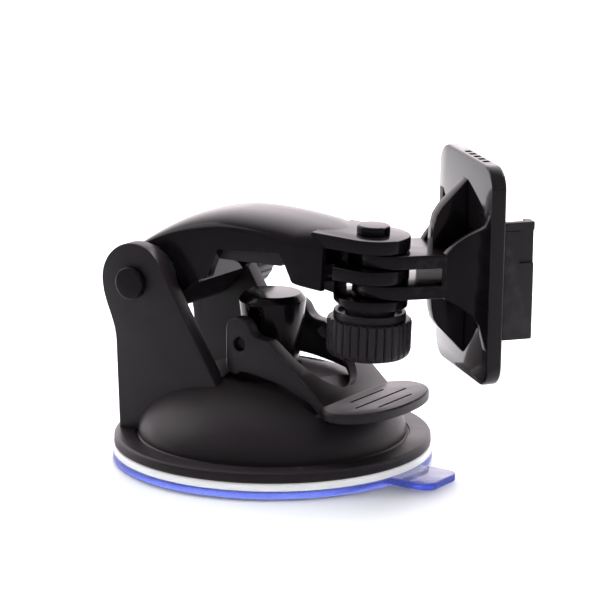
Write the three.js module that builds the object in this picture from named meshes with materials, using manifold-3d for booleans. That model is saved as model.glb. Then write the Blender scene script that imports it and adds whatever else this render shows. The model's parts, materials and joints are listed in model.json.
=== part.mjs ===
// Suction mount for a small vehicle camera: vacuum base with release lever, tilting arm and turning camera plate.
// Millimetres, +Z up. Origin: centre of the underside of the base. +X points to the lever and the arm's joint.
import * as THREE from 'three';
import { mergeVertices } from 'three/addons/utils/BufferGeometryUtils.js';
import Module from 'manifold-3d';

const wasm = await Module();
wasm.setup();

// ---- driving dimensions ----------------------------------------------------------------------
const CONTACT_GAP = 0.05;          // between pieces that rest on each other
const RUNNING_GAP = 0.3;           // between pieces that move past each other

const FILM = { radius: 32.8, bottom: 0, top: 1.5, tabEnd: 41.4, tabHalfWidth: 5.7, tabCorner: 2.6 };
const PAD = { radius: 32.8, top: 2.94 };
const FLANGE = { radius: 32.5, bottom: PAD.top + CONTACT_GAP, top: 5.17 };
const DOME = { radius: 27.5, height: 14.4, wall: 2.2, innerHeight: 9.6, boreRadius: 5.9 };
const EAR = { inner: 12, outer: 15.5, topRadius: 8.0, flatDistance: 7.3 };
const PIVOT = { x: -23.7, z: 36.1, shankRadius: 2.0, boreRadius: 2.3, headRadius: 3.35, headHeight: 1.8 };
const RING = { inner: 19.5, outer: 25.0, top: 4.6, screwCircle: 22.4, screwHead: 2.0, screwShank: 1.0 };
const POST = { top: 34.2, topFlat: 5.8, topRadius: 6.95, footRadius: 5.5, bore: 3.3, boreTop: 31.2 };
const POST_FLANGE = { radius: 8, bottom: 11, top: 14.1 };
const POST_SLOT = { width: 3.0, bottom: 23.2, top: 32.4 };
const STEM = { radius: 3.0, bottom: 5.55, top: 29.6 };
const PLUNGER = { radius: 11, bottom: 3.7, top: 5.5, screwRadius: 1.4, screwHead: 2.6 };
const SPRING = { coilRadius: 4.7, wireRadius: 0.42, bottom: 5.8, top: 10.8, turns: 4 };
const LEVER_PIN = { z: 25.7, radius: 1.3, halfLength: 11.1, leverBore: 1.5, stemBore: 1.35 };
const CHEEK = { inner: 9.0, outer: 12.0 };
const PADDLE = { start: 19.0, tip: 32.9, halfWidth: 15.5, bottom: 13.6, top: 15.7, grooveDepth: 0.35 };
const ARM = { halfWidth: 10.4, crown: 1.8, wall: 2.2, knuckleRadius: 7.7, coverHalfWidth: 8.0 };
const WASHER = { radius: 7.4, inner: 10.6, outer: 11.8 };
const JOINT = { x: 24.1, z: 49.2, leanDegrees: 2.5, radius: 7.5, layer: 2.8, gap: 0.3, boreRadius: 2.3, swing: 9.5 };
const NECK = { half: 5.2, shoulder: -4.7 };
const LOWEST_EAR = { thickness: 2.0, knobFace: -15.6 };
const KEEL = { start: -10.8, end: -7.2, half: 2.4, bottom: -12.5 };     // ties the lowest ear to the arm, behind the fork
const KNOB = { radius: 8.5, ribs: 30, ribDepth: 0.4, collarRadius: 7.3, collarHeight: 1.5, recess: 1.0, length: 9.35 };
const INSERT = { radius: 3.4, bore: 2.3, length: 6.4 };
const HEAD = { turnDegrees: 52, plateLean: -1.4, plateFace: 19.45, forkEnd: 13.4, wallStart: 12.8, prongOffset: 3.9, finHalf: 1.6,
  wall: 2.0 };
const PLATE = { halfWidth: 14.6, halfHeight: 22.4, thickness: 3.13, corner: 4.6, rise: 0.55 };
const SOCKET = { depth: 6.3, halfWidth: 14.0, halfHeight: 12.0, wall: 1.5, floor: 1.8, floorTop: 1.7, lip: 1.5, screwHead: 0.8 };

const LARGE_ROUND = 48;            // segments of a full turn
const MEDIUM_ROUND = 30;
const SMALL_ROUND = 16;

// ---- solids ----------------------------------------------------------------------------------
function solid(geometry) {
  const bare = geometry.index ? geometry.toNonIndexed() : geometry;
  for (const name of Object.keys(bare.attributes)) {
    if (name !== 'position') bare.deleteAttribute(name);
  }
  const merged = mergeVertices(bare, 1e-4);
  const index = Array.from(merged.index.array);
  const kept = [];
  for (let i = 0; i < index.length; i += 3) {
    const [a, b, c] = index.slice(i, i + 3);
    if (a !== b && b !== c && c !== a) kept.push(a, b, c);
  }
  return new wasm.Manifold(new wasm.Mesh({
    numProp: 3,
    vertProperties: new Float32Array(merged.attributes.position.array),
    triVerts: new Uint32Array(kept),
  }));
}

const join = (first, ...rest) => rest.reduce((sum, next) => sum.add(next), first);
const cut = (first, ...rest) => rest.reduce((left, next) => left.subtract(next), first);

function toGeometry(manifold) {
  const mesh = manifold.getMesh();
  const geometry = new THREE.BufferGeometry();
  geometry.setAttribute('position', new THREE.BufferAttribute(new Float32Array(mesh.vertProperties), 3));
  geometry.setIndex(new THREE.BufferAttribute(new Uint32Array(mesh.triVerts), 1));
  geometry.computeVertexNormals();
  return geometry;
}

function box(low, high) {
  const size = high.map((value, axis) => value - low[axis]);
  const geometry = new THREE.BoxGeometry(...size);
  geometry.translate(...low.map((value, axis) => value + size[axis] / 2));
  return solid(geometry);
}

// Profile points are [radius, height], listed so that the solid lies to the left of the path.
function turned(profile, segments = MEDIUM_ROUND) {
  const points = profile.map(([radius, height]) => new THREE.Vector2(Math.max(radius, 0), height));
  const geometry = new THREE.LatheGeometry([...points, points[0]], segments);
  geometry.rotateX(Math.PI / 2);
  return solid(geometry);
}

function rod(radius, bottom, top, segments = SMALL_ROUND) {
  return turned([[0, bottom], [radius, bottom], [radius, top], [0, top]], segments);
}

function tube(inner, outer, bottom, top, segments = MEDIUM_ROUND) {
  return turned([[inner, bottom], [outer, bottom], [outer, top], [inner, top]], segments);
}

function along(direction, manifold, x = 0, y = 0, z = 0) {
  const turns = { z: [0, 0, 0], '-y': [90, 0, 0], y: [-90, 0, 0], x: [0, 90, 0] };
  return manifold.rotate(turns[direction]).translate([x, y, z]);
}

function polygon(points) {
  const shape = new THREE.Shape();
  points.forEach(([x, y], i) => (i ? shape.lineTo(x, y) : shape.moveTo(x, y)));
  shape.closePath();
  return shape;
}

// A shape drawn in X and Y, standing from bottom to top.
function upright(shape, bottom, top, curveSegments = 8, bevel = {}) {
  const options = { depth: top - bottom, curveSegments, bevelEnabled: false, ...bevel };
  const geometry = new THREE.ExtrudeGeometry(shape, options);
  geometry.translate(0, 0, bottom);
  return solid(geometry);
}

// A shape drawn in X and Z, running from one Y to another.
function sideways(shape, fromY, toY, curveSegments = 8, bevel = {}) {
  const options = { depth: toY - fromY, curveSegments, bevelEnabled: false, ...bevel };
  const geometry = new THREE.ExtrudeGeometry(shape, options);
  geometry.rotateX(Math.PI / 2);
  geometry.translate(0, toY, 0);
  return solid(geometry);
}

function roundedRectangle(halfWidth, halfHeight, corner, cx = 0, cy = 0) {
  const shape = new THREE.Shape();
  const right = cx + halfWidth, left = cx - halfWidth, top = cy + halfHeight, bottom = cy - halfHeight;
  shape.moveTo(left + corner, bottom);
  shape.lineTo(right - corner, bottom);
  shape.absarc(right - corner, bottom + corner, corner, -Math.PI / 2, 0, false);
  shape.lineTo(right, top - corner);
  shape.absarc(right - corner, top - corner, corner, 0, Math.PI / 2, false);
  shape.lineTo(left + corner, top);
  shape.absarc(left + corner, top - corner, corner, Math.PI / 2, Math.PI, false);
  shape.lineTo(left, bottom + corner);
  shape.absarc(left + corner, bottom + corner, corner, Math.PI, Math.PI * 1.5, false);
  return shape;
}

// ---- materials -------------------------------------------------------------------------------
const plain = (color, roughness, metalness = 0, extra = {}) =>
  new THREE.MeshStandardMaterial({ color, roughness, metalness, ...extra });
const MATERIAL = {
  satinBlack: plain(0x17151a, 0.5),
  glossBlack: plain(0x121016, 0.2),
  gel: plain(0xe8edf2, 0.3),
  film: plain(0x6fa5ff, 0.1, 0, { transparent: true, opacity: 0.45 }),
  steel: plain(0x9a9ca0, 0.35, 1),
  brass: plain(0xb08d4a, 0.4, 1),
  nylon: plain(0x2a292c, 0.6),
};

// ---- base ------------------------------------------------------------------------------------
const domeSkin = (radius, height, fromRadius, steps) => Array.from({ length: steps + 1 }, (_, i) => {
  const start = Math.acos(fromRadius / radius);
  const angle = start * (i / steps);
  return [radius * Math.cos(angle), FLANGE.top + height * Math.sin(angle)];
});

function protectiveFilm() {
  const disc = rod(FILM.radius, FILM.bottom, FILM.top, LARGE_ROUND);
  const tabHalfLength = (FILM.tabEnd - FILM.radius + 6) / 2;
  const tabShape = roundedRectangle(tabHalfLength, FILM.tabHalfWidth, FILM.tabCorner, FILM.tabEnd - tabHalfLength, 0);
  return join(disc, upright(tabShape, FILM.bottom, FILM.top, 5));
}

function suctionPad() {
  const bottom = FILM.top + CONTACT_GAP;
  return turned([[0, bottom], [PAD.radius - 0.3, bottom], [PAD.radius, bottom + 0.35],
    [PAD.radius, PAD.top - 0.35], [PAD.radius - 0.3, PAD.top], [0, PAD.top]], LARGE_ROUND);
}

function earShape() {
  const shape = new THREE.Shape();
  const lineAngle = THREE.MathUtils.degToRad(31.4);
  const leaveAngle = lineAngle + Math.acos(EAR.flatDistance / EAR.topRadius);
  shape.moveTo(-27.6, FLANGE.top - 0.3);
  shape.lineTo(-28.3, 23.5);
  shape.bezierCurveTo(-28.6, 28, -31, 30.4, -31.6, PIVOT.z - 1.4);
  shape.absarc(PIVOT.x, PIVOT.z, EAR.topRadius, Math.PI * 1.04, leaveAngle, true);
  const lineNormal = new THREE.Vector2(Math.cos(lineAngle), Math.sin(lineAngle));
  const lineX = (z) => (PIVOT.x * lineNormal.x + PIVOT.z * lineNormal.y + EAR.flatDistance - z * lineNormal.y) / lineNormal.x;
  shape.lineTo(lineX(39.6), 39.6);
  shape.lineTo(lineX(15.4), 15.4);
  shape.lineTo(lineX(15.4), FLANGE.top - 0.3);
  return shape;
}

function screwPlaces() {
  return [45, 135, 225, 315].map((degrees) => {
    const angle = THREE.MathUtils.degToRad(degrees);
    return [RING.screwCircle * Math.cos(angle), RING.screwCircle * Math.sin(angle)];
  });
}

function baseHousing() {
  const inner = DOME.radius - DOME.wall;
  const shell = turned([
    [inner, FLANGE.bottom], [FLANGE.radius - 0.3, FLANGE.bottom], [FLANGE.radius, FLANGE.bottom + 0.3],
    [FLANGE.radius, FLANGE.top - 0.6], [FLANGE.radius - 0.5, FLANGE.top - 0.1], [FLANGE.radius - 1.1, FLANGE.top],
    ...domeSkin(DOME.radius, DOME.height, DOME.boreRadius, 7),
    ...domeSkin(inner, DOME.innerHeight, DOME.boreRadius, 4).reverse(),
  ], LARGE_ROUND);
  const ears = [-1, 1].map((side) => {
    const ends = [side * EAR.inner, side * EAR.outer].sort((a, b) => a - b);
    return sideways(earShape(), ...ends, 8);
  });
  const bosses = screwPlaces().map(([x, y]) => rod(2.5, RING.top + CONTACT_GAP, 10.4).translate([x, y, 0]));
  const holes = screwPlaces().map(([x, y]) => rod(RING.screwShank + 0.2, 0, 9.2, 12).translate([x, y, 0]));
  const pivotBore = along('-y', rod(PIVOT.boreRadius, -20, 20), PIVOT.x, 0, PIVOT.z);
  const camSeats = [-1, 1].map((side) => {
    const ends = [side * (CHEEK.inner - 0.5), side * (CHEEK.outer + 0.5)].sort((a, b) => a - b);
    return box([-4.6, ends[0], 17.7], [7.4, ends[1], 22]);
  });
  const leverSeat = sideways(polygon([[11.4, 19.2], [17.6, 13.3], [19.6, 13.3], [20.6, 12.2], [26, 12.2], [26, 20], [11.4, 20]]), -12.4, 12.4);
  return cut(join(shell, ...ears, ...bosses), ...holes, pivotBore, ...camSeats, leverSeat);
}

function padRing() {
  const ring = tube(RING.inner, RING.outer, PAD.top + CONTACT_GAP, RING.top);
  const holes = screwPlaces().map(([x, y]) => join(
    rod(RING.screwHead + 0.2, PAD.top, RING.top - 0.6, 16).translate([x, y, 0]),
    rod(RING.screwShank + 0.2, PAD.top, RING.top + 1, 12).translate([x, y, 0]),
  ));
  return cut(ring, ...holes);
}

function ringScrew() {
  const headTop = RING.top - 0.6 - CONTACT_GAP;
  return turned([[0, headTop - 0.85], [RING.screwHead - 0.3, headTop - 0.85], [RING.screwHead, headTop - 0.5],
    [RING.screwHead, headTop], [RING.screwShank, headTop], [RING.screwShank, 8.8], [0, 8.8]], 16);
}

// ---- vacuum mechanism ------------------------------------------------------------------------
function guidePost() {
  const body = turned([
    [POST.bore, POST_FLANGE.bottom], [POST_FLANGE.radius, POST_FLANGE.bottom],
    [POST_FLANGE.radius, POST_FLANGE.top - 1.2], [POST_FLANGE.radius - 1.2, POST_FLANGE.top],
    [POST.footRadius, POST_FLANGE.top], [POST.footRadius, 21], [POST.topRadius - 0.15, POST.top - 2.2],
    [POST.topRadius, POST.top - 1.3], [POST.topRadius - 0.35, POST.top - 0.45], [POST.topFlat, POST.top],
    [0, POST.top], [0, POST.boreTop], [POST.bore, POST.boreTop],
  ]);
  const half = POST_SLOT.width / 2;
  const slot = sideways(roundedRectangle(half, (POST_SLOT.top - POST_SLOT.bottom) / 2, half - 0.01,
    0, (POST_SLOT.top + POST_SLOT.bottom) / 2), -9, 9, 5);
  return cut(body, slot);
}

function plungerStem() {
  const body = turned([
    [0, STEM.bottom], [STEM.radius, STEM.bottom], [STEM.radius, STEM.top - 0.5], [STEM.radius - 0.5, STEM.top], [0, STEM.top],
  ]);
  const crossHole = along('-y', rod(LEVER_PIN.stemBore, -5, 5), 0, 0, LEVER_PIN.z);
  return cut(body, crossHole, rod(PLUNGER.screwRadius + 0.1, 0, 12, 16));
}

function plungerPlate() {
  const plate = turned([[0, PLUNGER.bottom], [PLUNGER.radius - 0.4, PLUNGER.bottom], [PLUNGER.radius, PLUNGER.bottom + 0.4],
    [PLUNGER.radius, PLUNGER.top], [0, PLUNGER.top]]);
  const hole = turned([[0, 3], [PLUNGER.screwHead + 0.9, 3], [PLUNGER.screwRadius + 0.1, PLUNGER.bottom + 1.35],
    [PLUNGER.screwRadius + 0.1, 7], [0, 7]], SMALL_ROUND);
  return cut(plate, hole);
}

function plungerScrew() {
  const low = PLUNGER.bottom + 0.1;
  return turned([[0, low], [PLUNGER.screwHead, low], [PLUNGER.screwRadius, low + 1.25], [PLUNGER.screwRadius, 11.6], [0, 11.6]],
    SMALL_ROUND);
}

class CoilCurve extends THREE.Curve {
  getPoint(t, target = new THREE.Vector3()) {
    const angle = 2 * Math.PI * SPRING.turns * t;
    return target.set(SPRING.coilRadius * Math.cos(angle), SPRING.coilRadius * Math.sin(angle),
      SPRING.bottom + SPRING.wireRadius + (SPRING.top - SPRING.bottom - 2 * SPRING.wireRadius) * t);
  }
}

function returnSpring() {
  const wire = new THREE.Shape();
  wire.absarc(0, 0, SPRING.wireRadius, 0, 2 * Math.PI, false);
  return solid(new THREE.ExtrudeGeometry(wire,
    { steps: SPRING.turns * 11, extrudePath: new CoilCurve(), curveSegments: 5, bevelEnabled: false }));
}

function leverPin() {
  const end = LEVER_PIN.halfLength;
  const r = LEVER_PIN.radius;
  return along('-y', turned([[0, -end], [r - 0.2, -end], [r, -end + 0.2], [r, end - 0.2], [r - 0.2, end], [0, end]],
    SMALL_ROUND), 0, 0, LEVER_PIN.z);
}

// ---- release lever ---------------------------------------------------------------------------
function cheekShape() {
  const shape = new THREE.Shape();
  shape.moveTo(-3.3, 20.9);
  shape.lineTo(-3.3, 28.2);
  shape.bezierCurveTo(-3.3, 29.9, -2.1, 31.0, -0.5, 31.0);
  shape.bezierCurveTo(1.0, 31.0, 1.7, 30.3, 2.2, 29.4);
  shape.bezierCurveTo(2.8, 28.2, 3.6, 27.4, 5.0, 27.3);
  shape.lineTo(6.9, 27.1);
  shape.lineTo(14.8, 20.7);
  shape.lineTo(20.3, PADDLE.top);
  shape.lineTo(21.6, PADDLE.top - 0.8);
  shape.lineTo(21.2, PADDLE.bottom - 0.9);
  shape.bezierCurveTo(19.6, 14.4, 14.0, 17.8, 9.0, 18.7);
  shape.bezierCurveTo(5.2, 19.5, 2.6, 19.9, 0.4, 19.9);
  shape.bezierCurveTo(-0.2, 19.9, -0.2, 19.3, -0.9, 19.3);
  shape.bezierCurveTo(-2.4, 19.3, -3.3, 20.0, -3.3, 20.9);
  return shape;
}

function paddleShape() {
  const shape = new THREE.Shape();
  const half = PADDLE.halfWidth;
  shape.moveTo(PADDLE.start, -11.6);
  shape.bezierCurveTo(20.6, -12.6, 21.4, -half, 24.4, -half);
  shape.bezierCurveTo(29.6, -half, PADDLE.tip, -9.5, PADDLE.tip, 0);
  shape.bezierCurveTo(PADDLE.tip, 9.5, 29.6, half, 24.4, half);
  shape.bezierCurveTo(21.4, half, 20.6, 12.6, PADDLE.start, 11.6);
  return shape;
}

function postSlotShape() {
  const half = 7.5;
  const end = 17.5;
  const shape = new THREE.Shape();
  shape.moveTo(-10, -half);
  shape.lineTo(end - half, -half);
  shape.absarc(end - half, 0, half, -Math.PI / 2, Math.PI / 2, false);
  shape.lineTo(-10, half);
  return shape;
}

function releaseLever() {
  const cheeks = [-1, 1].map((side) => {
    const ends = [side * CHEEK.inner, side * CHEEK.outer].sort((a, b) => a - b);
    return sideways(cheekShape(), ...ends, 6);
  });
  const web = sideways(polygon([[6.9, 27.1], [14.8, 20.7], [20.4, 15.7], [22.5, 15.7], [22.5, 13.6], [19.4, 13.6],
    [13.4, 18.9], [5.6, 25.4]]), -CHEEK.outer + 0.1, CHEEK.outer - 0.1);
  const slot = upright(postSlotShape(), 10, 40, 10);
  const paddle = upright(paddleShape(), PADDLE.bottom, PADDLE.top, 10);
  const grooves = [[22.9, 6.2], [26.2, 9.5], [29.5, 6.3]].map(([x, halfLength]) =>
    box([x - 0.25, -halfLength, PADDLE.top - PADDLE.grooveDepth], [x + 0.25, halfLength, PADDLE.top + 1]));
  const pinBore = along('-y', rod(LEVER_PIN.leverBore, -20, 20), 0, 0, LEVER_PIN.z);
  return cut(join(cut(web, slot), ...cheeks, paddle), ...grooves, pinBore);
}

// ---- thumb knob, its threaded insert and round-headed bolt, along -Z from the face they clamp ---
function ribbedOutline() {
  const shape = new THREE.Shape();
  const steps = KNOB.ribs * 2;
  for (let i = 0; i < steps; i += 1) {
    const angle = (2 * Math.PI * i) / steps;
    const radius = i % 2 ? KNOB.radius : KNOB.radius - KNOB.ribDepth;
    const point = [radius * Math.cos(angle), radius * Math.sin(angle)];
    if (i) shape.lineTo(...point);
    else shape.moveTo(...point);
  }
  shape.closePath();
  return shape;
}

function thumbKnob() {
  const shoulder = -KNOB.collarHeight;
  const grip = upright(ribbedOutline(), -KNOB.length + 0.2, shoulder);
  const envelope = turned([[0, -KNOB.length], [6.3, -KNOB.length], [7.7, -KNOB.length + 0.6], [8.6, -KNOB.length + 2.2],
    [8.6, shoulder - 0.4], [KNOB.collarRadius + 0.6, shoulder + 0.1], [KNOB.collarRadius, shoulder + 0.2],
    [KNOB.collarRadius, 0], [0, 0]]);
  const collar = turned([[0, -KNOB.length], [6.3, -KNOB.length], [6.9, -KNOB.length + 0.4], [KNOB.collarRadius, -4],
    [KNOB.collarRadius, 0], [0, 0]]);
  const recess = rod(6.45, -KNOB.recess, 1, MEDIUM_ROUND);
  const insertPocket = rod(INSERT.radius + CONTACT_GAP * 2, -KNOB.recess - 0.1 - INSERT.length, 1, MEDIUM_ROUND);
  const shankClearance = rod(INSERT.bore + 0.1, -KNOB.length + 1.4, 0);
  return cut(join(grip.intersect(envelope), collar), recess, insertPocket, shankClearance);
}

function knobInsert() {
  const top = -KNOB.recess - CONTACT_GAP;
  return tube(INSERT.bore, INSERT.radius, top - INSERT.length, top, 24);
}

function roundHeadBolt(shankEnd) {
  const low = CONTACT_GAP;
  return turned([[0, shankEnd], [PIVOT.shankRadius, shankEnd], [PIVOT.shankRadius, low], [PIVOT.headRadius, low],
    [PIVOT.headRadius, PIVOT.headHeight - 0.35], [PIVOT.headRadius - 0.35, PIVOT.headHeight], [0, PIVOT.headHeight]], 24);
}

// ---- arm -------------------------------------------------------------------------------------
const jointPoint = (local) => {
  const lean = THREE.MathUtils.degToRad(JOINT.leanDegrees);
  return [JOINT.x + local * Math.sin(lean), 0, JOINT.z + local * Math.cos(lean)];
};
const atJoint = (manifold) => manifold.rotate([0, JOINT.leanDegrees, 0]).translate([JOINT.x, 0, JOINT.z]);
const layerTop = (number) => -number * (JOINT.layer + JOINT.gap);

function armOutline() {
  const shape = new THREE.Shape();
  const radius = ARM.knuckleRadius;
  shape.moveTo(18.3, 37.2);
  shape.bezierCurveTo(8.0, 39.0, -6.0, 39.6, -12.0, 37.0);
  shape.lineTo(PIVOT.x + radius * Math.SQRT1_2, PIVOT.z - radius * Math.SQRT1_2);
  shape.absarc(PIVOT.x, PIVOT.z, radius, Math.PI * 1.75, Math.PI * 0.75, true);
  shape.bezierCurveTo(-22.5, 46.6, -15.0, 51.4, -4.0, 51.5);
  shape.bezierCurveTo(4.0, 51.6, 12.0, 50.6, 18.3, 49.45);
  return shape;
}

function armPlanShape(inset) {
  const shape = new THREE.Shape();
  const half = ARM.halfWidth - inset;
  const neck = JOINT.radius - inset;
  shape.moveTo(-40, -half);
  shape.lineTo(13.2, -half);
  shape.bezierCurveTo(15.8, -half, 15.6, -neck, 18.4, -neck);
  shape.lineTo(30, -neck);
  shape.lineTo(30, neck);
  shape.lineTo(18.4, neck);
  shape.bezierCurveTo(15.6, neck, 15.8, half, 13.2, half);
  shape.lineTo(-40, half);
  return shape;
}

function armShell() {
  const soft = { bevelEnabled: true, bevelThickness: ARM.crown, bevelSize: ARM.crown, bevelOffset: -ARM.crown, bevelSegments: 4 };
  const half = ARM.halfWidth;
  const blank = sideways(armOutline(), -half + ARM.crown, half - ARM.crown, 10, soft);
  const body = blank.intersect(upright(armPlanShape(0), 20, 60, 6));
  const hollow = sideways(polygon([[-13.6, 30], [-13.6, 42.6], [-9, 46.2], [0, 48.2], [8, 48.0], [12.0, 46.0], [12.0, 30]]),
    -half + ARM.wall, half - ARM.wall);
  const notch = sideways(polygon([[-10.5, 30], [-8.4, 39.4], [-6.4, 44.1], [8.5, 45.2], [9.5, 43.6], [11.5, 39.5],
    [18.6, 37.4], [18.6, 30]]), -20, 20);
  const knuckleBore = along('-y', rod(PIVOT.boreRadius, -20, 20), PIVOT.x, 0, PIVOT.z);
  const fingers = [[0, -10], [2, NECK.shoulder]].map(([layer, shoulder]) =>
    eye(layerTop(layer), JOINT.layer, JOINT.radius - 0.01, shoulder));
  const keel = box([KEEL.start, -KEEL.half, -20], [KEEL.end, KEEL.half, layerTop(3) + JOINT.gap]);
  const swing = [1, 3].map((layer) => rod(JOINT.swing, layerTop(layer + 1), layerTop(layer) + JOINT.gap, MEDIUM_ROUND));
  const bosses = coverScrewPlaces().map((x) => rod(2.3, 43.4, 48.8).translate([x, 0, 0]));
  const threads = coverScrewPlaces().map((x) => rod(1.2, 40, 47.6, 12).translate([x, 0, 0]));
  const scoops = [-1, 1].map((side) => atJoint(upright(scoopPlan(side), -13.4, -JOINT.layer - 0.01, 8)));
  const trimmed = cut(body, hollow, notch, knuckleBore, ...scoops);
  return cut(join(trimmed, ...fingers.map(atJoint), atJoint(lowestEar()), ...bosses),
    ...swing.map((space) => atJoint(cut(space, keel))), ...threads, atJoint(rod(JOINT.boreRadius, -30, 5)));
}

// The ear that the knob clamps, with the keel behind it; its underside rises towards the arm.
function lowestEar() {
  const top = layerTop(4);
  const bottom = top - LOWEST_EAR.thickness;
  const disc = rod(JOINT.radius, bottom, top, MEDIUM_ROUND);
  const strap = box([KEEL.start, -KEEL.half, bottom], [0, KEEL.half, top]);
  const keel = box([KEEL.start, -KEEL.half, bottom], [KEEL.end, KEEL.half, layerTop(2)]);
  const under = polygon([[-12, KEEL.bottom], [KEEL.start, KEEL.bottom], [-6.3, -13.1], [0.5, bottom], [0.5, -20], [-12, -20]]);
  return cut(join(disc, strap, keel), sideways(under, -12, 12));
}

// What is cut away beside the neck, below the top ear, in the joint's own frame.
function scoopPlan(side) {
  const shape = new THREE.Shape();
  shape.moveTo(-7.2, side * 12);
  shape.bezierCurveTo(-7.0, side * 8, -6.6, side * NECK.half, -5.4, side * NECK.half);
  shape.lineTo(-3, side * NECK.half);
  shape.lineTo(-3, side * 12);
  return shape;
}

// A round ear on the joint axis with its strap back to the arm.
function eye(top, thickness, strapHalf, shoulder = -10) {
  const low = top - thickness;
  const strap = join(box([shoulder, -strapHalf, low], [0, strapHalf, top]), box([-10, -NECK.half, low], [0, NECK.half, top]));
  return join(rod(JOINT.radius, low, top, MEDIUM_ROUND), strap);
}

const coverScrewPlaces = () => [-4.5, 5.0];

function armUnderCover() {
  const y = ARM.coverHalfWidth;
  const wall = 1.6;
  const block = sideways(polygon([[-12.4, 41.5], [7.6, 41.9], [8.2, 44.8], [-6.9, 44.0], [-12.4, 43.1]]), -y, y);
  const tray = cut(block, box([-7.4, -y + wall, 43.3], [9, y - wall, 46]));
  const holes = coverScrewPlaces().map((x) => join(rod(2.2, 40, 42.6, 16).translate([x, 0, 0]),
    rod(1.2, 40, 46, 12).translate([x, 0, 0])));
  return cut(tray, ...holes);
}

function coverScrew() {
  return turned([[0, 41.75], [1.7, 41.75], [2.0, 42.0], [2.0, 42.55], [1.0, 42.55], [1.0, 47.2], [0, 47.2]], 16);
}

// ---- camera head, in its own frame: X away from the joint axis, Z along it ----------------------
function flareSide() {
  const shape = new THREE.Shape();
  const face = HEAD.plateFace - CONTACT_GAP;
  shape.moveTo(HEAD.wallStart, -4.5);
  shape.bezierCurveTo(14.5, -5.2, 17.6, -6.9, 18.6, -9.2);
  shape.lineTo(face, -14.0);
  shape.lineTo(face, 13.6);
  shape.lineTo(19.0, 11.2);
  shape.bezierCurveTo(18.2, 9.6, 14.2, 6.9, HEAD.wallStart, 4.5);
  return shape;
}

function flarePlan(side) {
  const shape = new THREE.Shape();
  const face = HEAD.plateFace - CONTACT_GAP;
  const inner = JOINT.radius - HEAD.wall;
  shape.moveTo(HEAD.wallStart, side * JOINT.radius);
  shape.bezierCurveTo(15.8, side * 7.9, 18.0, side * 9.6, face, side * 14);
  shape.lineTo(face, side * 11.4);
  shape.bezierCurveTo(17.9, side * 8.0, 15.6, side * 5.8, HEAD.wallStart, side * inner);
  return shape;
}

function finOutline() {
  const face = HEAD.plateFace - CONTACT_GAP;
  return polygon([[12.3, -6.0], [12.5, -8.2], [13.0, -10.2], [13.9, -11.7], [face, -17.5], [face, 18.3], [14.1, 12.9],
    [13.0, 11.2], [12.5, 9.0], [12.3, 6.5]]);
}

function forkPlan() {
  const shape = new THREE.Shape();
  const face = HEAD.forkEnd + 2.4;
  shape.moveTo(HEAD.prongOffset, -JOINT.radius);
  shape.lineTo(face, -JOINT.radius);
  shape.lineTo(face, JOINT.radius);
  shape.lineTo(HEAD.prongOffset, JOINT.radius);
  shape.absarc(HEAD.prongOffset, 0, JOINT.radius, Math.PI / 2, Math.PI * 1.5, false);
  return shape;
}

function mountHead() {
  const middle = layerTop(2) - JOINT.layer / 2;
  const prongs = [1, 3].map((layer) => upright(forkPlan(), layerTop(layer) - JOINT.layer, layerTop(layer), 12));
  const root = box([HEAD.forkEnd - 1.2, -JOINT.radius, layerTop(3) - JOINT.layer], [HEAD.forkEnd + 2.2, JOINT.radius, layerTop(1)]);
  const walls = [-1, 1].map((side) => upright(flarePlan(side), -14, 18, 6)
    .intersect(sideways(flareSide(), -20, 20, 6)).translate([0, 0, middle]));
  const fin = sideways(finOutline(), -HEAD.finHalf, HEAD.finHalf).translate([0, 0, middle]);
  return cut(join(root, ...prongs, ...[...walls, fin].map(leaning)), rod(JOINT.boreRadius, -30, 5));
}

const headPlace = (manifold) => atJoint(manifold.rotate([0, 0, HEAD.turnDegrees]));
const plateCentre = () => layerTop(2) - JOINT.layer / 2 + PLATE.rise;
const plateScrewPlaces = () => [[-8, -9], [-8, 5], [8, -9], [8, 5]];

// The plate and what it carries lean a little from the joint's axis.
function leaning(manifold) {
  const centre = plateCentre();
  return manifold.translate([-HEAD.plateFace, 0, -centre]).rotate([0, HEAD.plateLean, 0])
    .translate([HEAD.plateFace, 0, centre]);
}

// A face drawn with its width along Y and height along Z, from one X to another.
function facing(shape, fromX, toX, curveSegments = 6, bevel = {}) {
  const options = { depth: toX - fromX, curveSegments, bevelEnabled: false, ...bevel };
  const geometry = new THREE.ExtrudeGeometry(shape, options);
  geometry.rotateX(Math.PI / 2);
  geometry.rotateZ(Math.PI / 2);
  geometry.translate(fromX, 0, 0);
  return solid(geometry);
}

function cameraPlate() {
  const edge = 0.5;
  const outline = roundedRectangle(PLATE.halfWidth, PLATE.halfHeight, PLATE.corner, 0, plateCentre());
  const soft = { bevelEnabled: true, bevelThickness: edge, bevelSize: edge, bevelOffset: -edge, bevelSegments: 1 };
  const from = HEAD.plateFace + edge;
  const slab = facing(outline, from, HEAD.plateFace + PLATE.thickness - edge, 6, soft);
  const holes = plateScrewPlaces().map(([y, z]) => along('x', rod(1.2, 10, 40, 12), 0, y, z + plateCentre()));
  return cut(slab, ...holes);
}

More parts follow.
